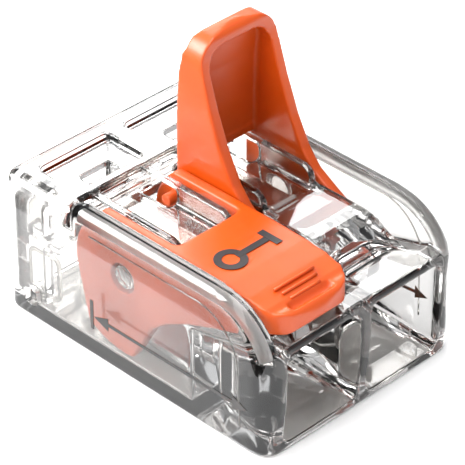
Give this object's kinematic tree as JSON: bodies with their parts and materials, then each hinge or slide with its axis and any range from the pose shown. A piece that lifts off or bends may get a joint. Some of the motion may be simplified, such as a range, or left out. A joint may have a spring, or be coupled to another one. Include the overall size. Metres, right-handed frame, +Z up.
{
  "type": "lever wire connector",
  "caption": "Clear electrical splice connector with wire entries at the front and orange levers that open and close the spring clamps inside.",
  "frame": {"origin": "under the middle of the housing, on the face it stands on", "axes": "+Z up, -Y towards the wire entries, +X across the poles"},
  "size_m": [0.0152, 0.021, 0.0176],
  "materials": {
    "clear_housing": "clear polished polycarbonate",
    "clear_cover": "clear polished polycarbonate",
    "tinned_copper": "bright tin plating, lightly brushed",
    "spring_steel": "rolled stainless spring strip",
    "orange_lever": "moulded, slightly glossy"
  },
  "bodies": {
    "housing": {"housing_shell": "clear_housing", "back_cover": "clear_cover", "current_bar": "tinned_copper", "clamp_spring_left": "spring_steel", "clamp_spring_right": "spring_steel"},
    "lever_left_body": {"lever_left": "orange_lever"},
    "lever_right_body": {"lever_right": "orange_lever"},
    "leg_left_body": {"clamp_leg_left": "spring_steel"},
    "leg_right_body": {"clamp_leg_right": "spring_steel"}
  },
  "joints": [
    {"name": "lever_left_hinge", "type": "hinge", "parent": "housing", "child": "lever_left_body", "pos_m": [-0.00325, 0.0014, 0.0061], "axis": [-1, 0, 0], "range_deg": [0, 90]},
    {"name": "lever_right_hinge", "type": "hinge", "parent": "housing", "child": "lever_right_body", "pos_m": [0.00325, 0.0014, 0.0061], "axis": [-1, 0, 0], "range_deg": [-90, 0]},
    {"name": "leg_left_hinge", "type": "hinge", "parent": "housing", "child": "leg_left_body", "pos_m": [-0.00325, -0.0025, 0.00225], "axis": [-1, 0, 0], "range_deg": [0, 26.2]},
    {"name": "leg_right_hinge", "type": "hinge", "parent": "housing", "child": "leg_right_body", "pos_m": [0.00325, -0.0025, 0.00225], "axis": [-1, 0, 0], "range_deg": [-26.2, 0]}
  ],
  "couplings": [
    {"joint": "leg_left_hinge", "follows": "lever_left_hinge", "ratio": 0.29},
    {"joint": "leg_right_hinge", "follows": "lever_right_hinge", "ratio": 0.29}
  ]
}
